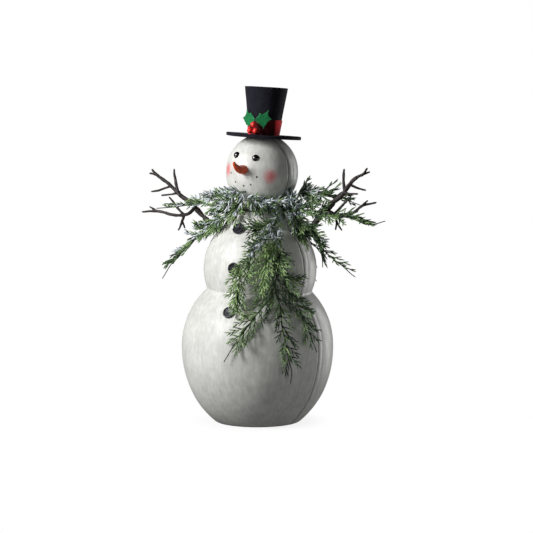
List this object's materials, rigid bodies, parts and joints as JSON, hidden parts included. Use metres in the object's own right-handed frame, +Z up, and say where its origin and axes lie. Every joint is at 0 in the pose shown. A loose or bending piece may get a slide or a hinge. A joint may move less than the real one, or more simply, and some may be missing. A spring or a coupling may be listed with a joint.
{
  "type": "standing snowman figure",
  "caption": "Standing snowman figure: three moulded balls with felt top hat, twig arms that turn in wooden sockets, coat buttons, carrot nose and a wired cedar garland.",
  "frame": {"origin": "centre of the flat underside of the base board, on the surface the figure stands on", "axes": "+Z up, the face and buttons look towards -Y, +X is the figure's own left; the moulded halves meet in the plane y = -12 mm"},
  "size_m": [0.5525, 0.2854, 0.6131],
  "materials": {
    "painted_pulp": "satin",
    "board": "matte",
    "socket_wood": "matte",
    "twig_bark": "matte",
    "black_gloss": "gloss",
    "carrot_orange": "satin",
    "button_navy": "satin",
    "black_felt": "matte",
    "red_felt": "matte",
    "green_felt": "matte",
    "berry_red": "satin",
    "wire_brown": "matte",
    "cedar_foliage": "matte",
    "light_foliage": "matte",
    "frosted_foliage": "matte"
  },
  "bodies": {
    "figure": {"base_board": "board", "berry_wires": "wire_brown", "bottom_button": "button_navy", "carrot_nose": "carrot_orange", "chest_frosted_spray": "frosted_foliage", "chest_short_spray": "cedar_foliage", "front_green_spray": "light_foliage", "front_shell": "painted_pulp", "garland_ring_wire": "wire_brown", "hat_band": "red_felt", "hat_brim": "black_felt", "hat_crown": "black_felt", "hat_crown_top": "black_felt", "holly_berries": "berry_red", "left_arm_socket": "socket_wood", "left_eye": "black_gloss", "left_fork_spray": "cedar_foliage", "left_hanging_spray": "cedar_foliage", "left_holly_leaf": "green_felt", "left_middle_spray": "cedar_foliage", "left_neck_green_spray": "cedar_foliage", "left_shoulder_frosted_spray": "frosted_foliage", "left_side_spray": "cedar_foliage", "light_green_hanging_spray": "light_foliage", "long_trailing_spray": "cedar_foliage", "middle_button": "button_navy", "neck_front_spray": "frosted_foliage", "rear_center_spray": "cedar_foliage", "rear_left_spray": "cedar_foliage", "rear_neck_spray": "cedar_foliage", "rear_right_spray": "cedar_foliage", "rear_shell": "painted_pulp", "right_arm_socket": "socket_wood", "right_eye": "black_gloss", "right_fork_spray": "cedar_foliage", "right_hanging_spray": "cedar_foliage", "right_holly_leaf": "green_felt", "right_knot_spray": "cedar_foliage", "right_outer_spray": "cedar_foliage", "right_shoulder_spray": "cedar_foliage", "right_side_spray": "cedar_foliage", "short_right_spray": "cedar_foliage", "top_button": "button_navy"},
    "left_arm": {"left_twig_arm": "twig_bark"},
    "right_arm": {"right_twig_arm": "twig_bark"}
  },
  "joints": [
    {"name": "left_arm_turn", "type": "hinge", "parent": "figure", "child": "left_arm", "pos_m": [0.0896, 0, 0.3376], "axis": [0.7199, 0, 0.694], "range_deg": [-10, 10]},
    {"name": "right_arm_turn", "type": "hinge", "parent": "figure", "child": "right_arm", "pos_m": [-0.0775, 0, 0.33965], "axis": [-0.8, 0, 0.6], "range_deg": [-10, 10]}
  ]
}
